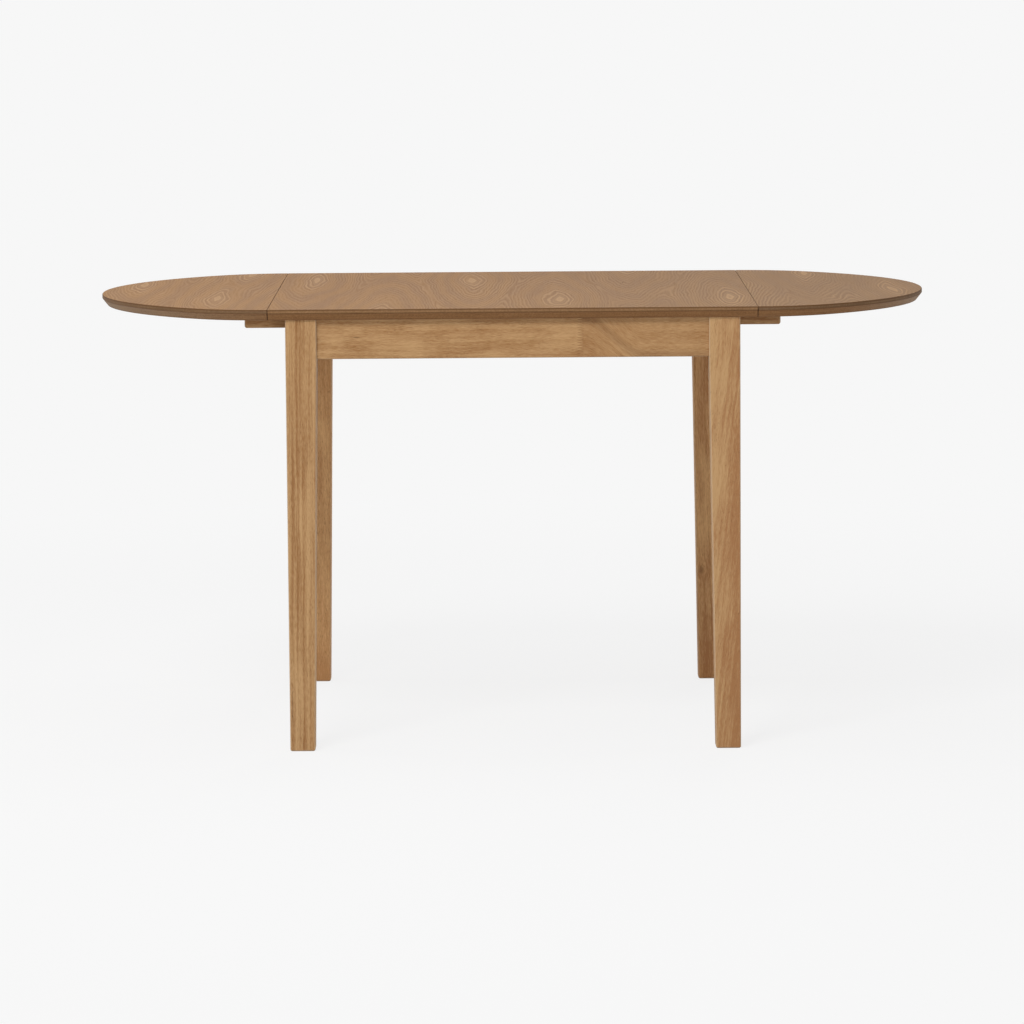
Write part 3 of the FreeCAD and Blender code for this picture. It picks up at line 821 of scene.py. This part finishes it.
class TABLE_OT_aprons(bpy.types.Operator):
    """Finish the aprons, the long ones from two staves"""

    bl_idname = "table.finish_aprons"
    bl_label = "Finish the aprons"

    LONG_SEED, LONG_STEP, LONG_PITH = 41, 13, (-0.035, 0.09)
    END_SEED, END_STEP, END_PITH = 71, 17, (0.03, 0.08)
    # Where the fingers of the two staves end, and dark flecks
    STAVES = {
        "front_apron": {"stave_at": 0.1155, "marks": [(0.6823, -0.2553, 0.0009, 0.007, 0.8)]},
        "rear_apron": {"stave_at": -0.140},
    }

    def execute(self, context):
        look = context.scene.table_wood
        tones = (look.pale, look.warm)
        for index, (node, staves) in enumerate(self.STAVES.items()):
            wood = solid_wood(
                f"{node} wood", "X", self.LONG_SEED + self.LONG_STEP * index, tones, look,
                pith=self.LONG_PITH, middle=middle_of(node), figure=0.6, length=0.7, **staves,
            )
            dress(node, wood, look.ease)
        for index, side in enumerate(SIDES):
            node = f"{side}_apron"
            wood = solid_wood(
                f"{node} wood", "Y", self.END_SEED + self.END_STEP * index, tones, look,
                pith=self.END_PITH, middle=middle_of(node),
            )
            dress(node, wood, look.ease)
        return {"FINISHED"}


# Place from which the grain of the pieces under the top is measured
UNDER_TOP = (0, 0, 0.7)


class TABLE_OT_supports(bpy.types.Operator):
    """Finish the sliding support bars and their stop blocks"""

    bl_idname = "table.finish_supports"
    bl_label = "Finish the supports"

    SEED, PITH = 91, (0.4, 0.5)
    # Painted shade: the support bars' wood is darkened for the shade under the top
    PAINTED_SHADE = 0.12

    def execute(self, context):
        look = context.scene.table_wood
        wood = solid_wood(
            "support bar wood", "X", self.SEED, (look.pale, look.warm), look,
            pith=self.PITH, middle=UNDER_TOP, darker=self.PAINTED_SHADE,
        )
        for corner in CORNERS:
            dress(f"{corner}_support_bar", wood, look.ease)
            dress(f"{corner}_stop_block", wood, look.ease)
        return {"FINISHED"}


class TABLE_OT_inner_wood(bpy.types.Operator):
    """Finish the guides, corner blocks and cleats under the top"""

    bl_idname = "table.finish_inner_wood"
    bl_label = "Finish the inner wood"

    LONG_SEED, LONG_PITH = 111, (0.3, 0.6)
    BLOCK_SEED, BLOCK_PITH = 121, (0.02, 0.03)

    def execute(self, context):
        look = context.scene.table_wood
        tones = (look.bare_pale, look.bare_warm)
        along = solid_wood(
            "bare wood", "X", self.LONG_SEED, tones, look, pith=self.LONG_PITH, middle=UNDER_TOP,
        )
        upright = solid_wood("bare block wood", "Z", self.BLOCK_SEED, tones, look, pith=self.BLOCK_PITH)
        for corner in CORNERS:
            dress(f"{corner}_support_guide", along, look.ease)
            dress(f"{corner}_corner_block", upright, look.ease)
        for end in ENDS:
            dress(f"{end}_top_cleat", along, look.ease)
        return {"FINISHED"}


class TABLE_OT_hinges(bpy.types.Operator):
    """Finish the hinge plates and pins"""

    bl_idname = "table.finish_hinges"
    bl_label = "Finish the hinges"

    SEED = 131

    def execute(self, context):
        metal = context.scene.table_metal
        steel = plated_steel("hinge nickel", self.SEED, metal.nickel, metal.dull, "Y")
        for side in SIDES:
            for place in HINGE_PLACES:
                for part in ("hinge_frame_plate", "hinge_leaf_plate", "hinge_pin"):
                    dress(f"{side}_{place}_{part}", steel, metal.ease)
        return {"FINISHED"}


class TABLE_OT_bolts(bpy.types.Operator):
    """Finish the leg bolts and their washers"""

    bl_idname = "table.finish_bolts"
    bl_label = "Finish the bolts"

    SEED = 141

    def execute(self, context):
        metal = context.scene.table_metal
        steel = plated_steel("bolt zinc", self.SEED, metal.zinc, metal.dull, "X")
        for node in ("leg_bolts", "leg_bolt_washers"):
            dress(node, steel, metal.ease)
        return {"FINISHED"}


class TABLE_OT_hinge_screws(bpy.types.Operator):
    """Add three screws to every hinge plate"""

    bl_idname = "table.add_hinge_screws"
    bl_label = "Add hinge screws"

    END_INSET = 0.009
    EDGE_INSET = 0.007
    MIDDLE_INSET = 0.013

    def seats(self, node, outward, metal):
        """Two screws near the free edge of a plate and one between them, nearer the pin."""
        low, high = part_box(node)
        edge = high.x if outward > 0 else low.x
        face = high.z - metal.plate_thickness
        middle = (low.y + high.y) / 2
        spots = [
            (edge - outward * self.EDGE_INSET, low.y + self.END_INSET),
            (edge - outward * self.EDGE_INSET, high.y - self.END_INSET),
            (edge - outward * self.MIDDLE_INSET, middle),
        ]
        return [(Vector((x, y, face)), (0, 0, -1)) for x, y in spots]

    def execute(self, context):
        metal = context.scene.table_metal
        for side, sign in SIDES.items():
            for part, outward, body in (("frame", -sign, "frame"), ("leaf", sign, f"{side}_leaf_body")):
                plates = [f"{side}_{place}_hinge_{part}_plate" for place in HINGE_PLACES]
                seats = [seat for plate in plates for seat in self.seats(plate, outward, metal)]
                drive_screws(f"{side}_hinge_{part}_screws", seats, body, metal)
        return {"FINISHED"}


class TABLE_OT_frame_screws(bpy.types.Operator):
    """Add the screws of the guides and cleats"""

    bl_idname = "table.add_frame_screws"
    bl_label = "Add frame screws"

    GUIDE_END_INSET = 0.030
    GUIDE_SIDE_INSET = 0.0075
    CLEAT_PITCH = 0.120

    def guide_seats(self, node):
        """A screw near each corner of a guide, facing down."""
        low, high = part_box(node)
        for x in (low.x + self.GUIDE_END_INSET, high.x - self.GUIDE_END_INSET):
            for y in (low.y + self.GUIDE_SIDE_INSET, high.y - self.GUIDE_SIDE_INSET):
                yield Vector((x, y, low.z)), (0, 0, -1)

    def cleat_seats(self, node, inward):
        """A row of screws up into the top, and a row between them into the apron."""
        low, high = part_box(node)
        middle = (low + high) / 2
        inner = low.y if inward < 0 else high.y
        for step in (-1, 0, 1):
            yield Vector((middle.x + step * self.CLEAT_PITCH, middle.y, low.z)), (0, 0, -1)
        for step in (-0.5, 0.5):
            yield Vector((middle.x + step * self.CLEAT_PITCH, inner, middle.z)), (0, inward, 0)

    def execute(self, context):
        metal = context.scene.table_metal
        guides = [seat for corner in CORNERS for seat in self.guide_seats(f"{corner}_support_guide")]
        drive_screws("guide_screws", guides, "frame", metal)
        cleats = [*self.cleat_seats("front_top_cleat", 1), *self.cleat_seats("rear_top_cleat", -1)]
        drive_screws("cleat_screws", cleats, "frame", metal)
        return {"FINISHED"}


class TABLE_OT_stage(bpy.types.Operator):
    """Set up the floor, the light and the camera"""

    bl_idname = "table.build_stage"
    bl_label = "Build the stage"

    FLOOR_HALF, FLOOR_CELLS = 9.0, 8
    SHADOW_INNER, SHADOW_OUTER = 1.2, 3.0
    SENSOR_WIDTH = 36.0
    VIEW_REACH = 100.0
    LAMP_AIM = (0, 0, 0.5)
    # Soft boxes: the place and size of each, the setting for its power, and whether gloss shows it
    SOFT_BOXES = {
        "overhead soft box": ((-0.9, 0.2, 3.4), 3.0, "overhead_power", True),
        "key soft box": ((-1.8, -4.2, 4.8), 2.2, "key_power", True),
        "fill soft box": ((1.2, -9.5, 1.1), 2.2, "fill_power", True),
        "side soft box": ((-6.5, -5.5, 1.0), 2.2, "side_power", True),
        "left end soft box": ((-6.0, 1.2, 1.3), 2.2, "end_power", False),
        "right end soft box": ((6.0, 1.2, 1.3), 2.2, "end_power", False),
        "back soft box": ((2.2, 7.5, 1.6), 3.0, "back_power", False),
    }

    def backdrop_rays(self, finish):
        """1 for the rays that see the backdrop, 0 for those that carry its light."""
        kinds = ("Camera", "Glossy", "Transmission")
        seen = [finish.add("ShaderNodeLightPath", {}, {}, f"Is {kind} Ray") for kind in kinds]
        return (seen[0] + seen[1] + seen[2]).limited()

    def floor(self, stage):
        """Pale floor that shows a soft shadow near the table and is open from below."""
        bm = bmesh.new()
        cells = self.FLOOR_CELLS
        bmesh.ops.create_grid(bm, x_segments=cells, y_segments=cells, size=self.FLOOR_HALF)
        floor = object_from(bm, "floor")
        finish = new_finish("pale floor")
        seen = self.backdrop_rays(finish)
        x, y = finish.place().axes()[:2]
        near = 1 - (x * x + y * y).root().step(self.SHADOW_INNER, self.SHADOW_OUTER)
        glow = finish.add("ShaderNodeEmission", {}, {"Color": (*stage.backdrop, 1)})
        shaded = finish.add("ShaderNodeBsdfDiffuse", {}, {"Color": (*stage.backdrop, 1)})
        bounce = finish.add("ShaderNodeBsdfDiffuse", {}, {"Color": (*stage.floor_bounce, 1)})
        open_side = finish.add("ShaderNodeBsdfTransparent", {}, {})
        shown = finish.add("ShaderNodeMixShader", {}, {0: near * stage.shadow_share, 1: glow, 2: shaded})
        surface = finish.add("ShaderNodeMixShader", {}, {0: seen, 1: bounce, 2: shown})
        below = finish.add("ShaderNodeNewGeometry", {}, {}, "Backfacing")
        surface = finish.add("ShaderNodeMixShader", {}, {0: below, 1: surface, 2: open_side})
        finish.add("ShaderNodeOutputMaterial", {"is_active_output": True}, {"Surface": surface})
        floor.data.materials.append(finish.owner)

    def room(self, stage):
        """Even light from all round, with a pale background."""
        finish = Finish(bpy.data.worlds.new("room"))
        bpy.context.scene.world = finish.owner
        seen = self.backdrop_rays(finish)
        white, backdrop = (1, 1, 1, 1), (*stage.backdrop, 1)
        light = finish.add("ShaderNodeBackground", {}, {"Color": white, "Strength": stage.room_light})
        background = finish.add("ShaderNodeBackground", {}, {"Color": backdrop, "Strength": 1.0})
        surface = finish.add("ShaderNodeMixShader", {}, {0: seen, 1: light, 2: background})
        finish.add("ShaderNodeOutputWorld", {"is_active_output": True}, {"Surface": surface})

    def soft_box(self, name, place, size, power, glossy):
        """Square lamp that faces the middle of the table."""
        lamp = bpy.data.lights.new(name, "AREA")
        lamp.shape = "SQUARE"
        lamp.size = size
        lamp.energy = power
        holder = bpy.data.objects.new(name, lamp)
        holder.location = place
        aim = Vector(self.LAMP_AIM) - Vector(place)
        holder.rotation_euler = aim.to_track_quat("-Z", "Y").to_euler()
        holder.visible_camera = False
        holder.visible_glossy = glossy
        bpy.context.scene.collection.objects.link(holder)

    def camera(self, stage):
        """Camera at the photograph's angle."""
        lens = bpy.data.cameras.new("camera")
        lens.sensor_width = self.SENSOR_WIDTH
        lens.lens = stage.lens
        lens.clip_end = self.VIEW_REACH
        camera = bpy.data.objects.new("camera", lens)
        camera.location = (stage.camera_x, stage.camera_y, stage.camera_z)
        yaw = Matrix.Rotation(-stage.camera_yaw, 3, "Z")
        pitch = Matrix.Rotation(math.pi / 2 - stage.camera_pitch, 3, "X")
        roll = Matrix.Rotation(stage.camera_roll, 3, "Z")
        camera.rotation_euler = (yaw @ pitch @ roll).to_euler()
        bpy.context.scene.collection.objects.link(camera)
        bpy.context.scene.camera = camera

    def execute(self, context):
        stage = context.scene.table_stage
        self.floor(stage)
        self.room(stage)
        for name, (place, size, setting, glossy) in self.SOFT_BOXES.items():
            self.soft_box(name, place, size, getattr(stage, setting), glossy)
        self.camera(stage)
        context.scene.view_settings.view_transform = "Standard"
        return {"FINISHED"}


OPERATORS = (
    TABLE_OT_top,
    TABLE_OT_legs,
    TABLE_OT_aprons,
    TABLE_OT_supports,
    TABLE_OT_inner_wood,
    TABLE_OT_hinges,
    TABLE_OT_bolts,
    TABLE_OT_hinge_screws,
    TABLE_OT_frame_screws,
    TABLE_OT_stage,
)
SETTINGS = {
    "table_top": TopSettings,
    "table_wood": WoodSettings,
    "table_metal": MetalSettings,
    "table_stage": StageSettings,
}


class TABLE_PT_pieces(bpy.types.Panel):
    """Lists the steps that finish the table"""

    bl_label = "Drop-leaf table"
    bl_space_type = "VIEW_3D"
    bl_region_type = "UI"
    bl_category = "Table"

    def draw(self, context):
        for operator in OPERATORS:
            self.layout.operator(operator.bl_idname)
        for name, group in SETTINGS.items():
            box = self.layout.box()
            for key in group.__annotations__:
                box.prop(getattr(context.scene, name), key)


def register():
    """Make the settings, operators and panel known."""
    for name, group in SETTINGS.items():
        bpy.utils.register_class(group)
        setattr(bpy.types.Scene, name, bpy.props.PointerProperty(type=group))
    for operator in OPERATORS:
        bpy.utils.register_class(operator)
    bpy.utils.register_class(TABLE_PT_pieces)


def unregister():
    """Take the settings, operators and panel away again."""
    bpy.utils.unregister_class(TABLE_PT_pieces)
    for operator in reversed(OPERATORS):
        bpy.utils.unregister_class(operator)
    for name, group in SETTINGS.items():
        delattr(bpy.types.Scene, name)
        bpy.utils.unregister_class(group)


def main():
    """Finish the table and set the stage."""
    register()
    for operator in OPERATORS:
        group, name = operator.bl_idname.split(".")
        getattr(getattr(bpy.ops, group), name)()


if __name__ == "__main__":
    main()
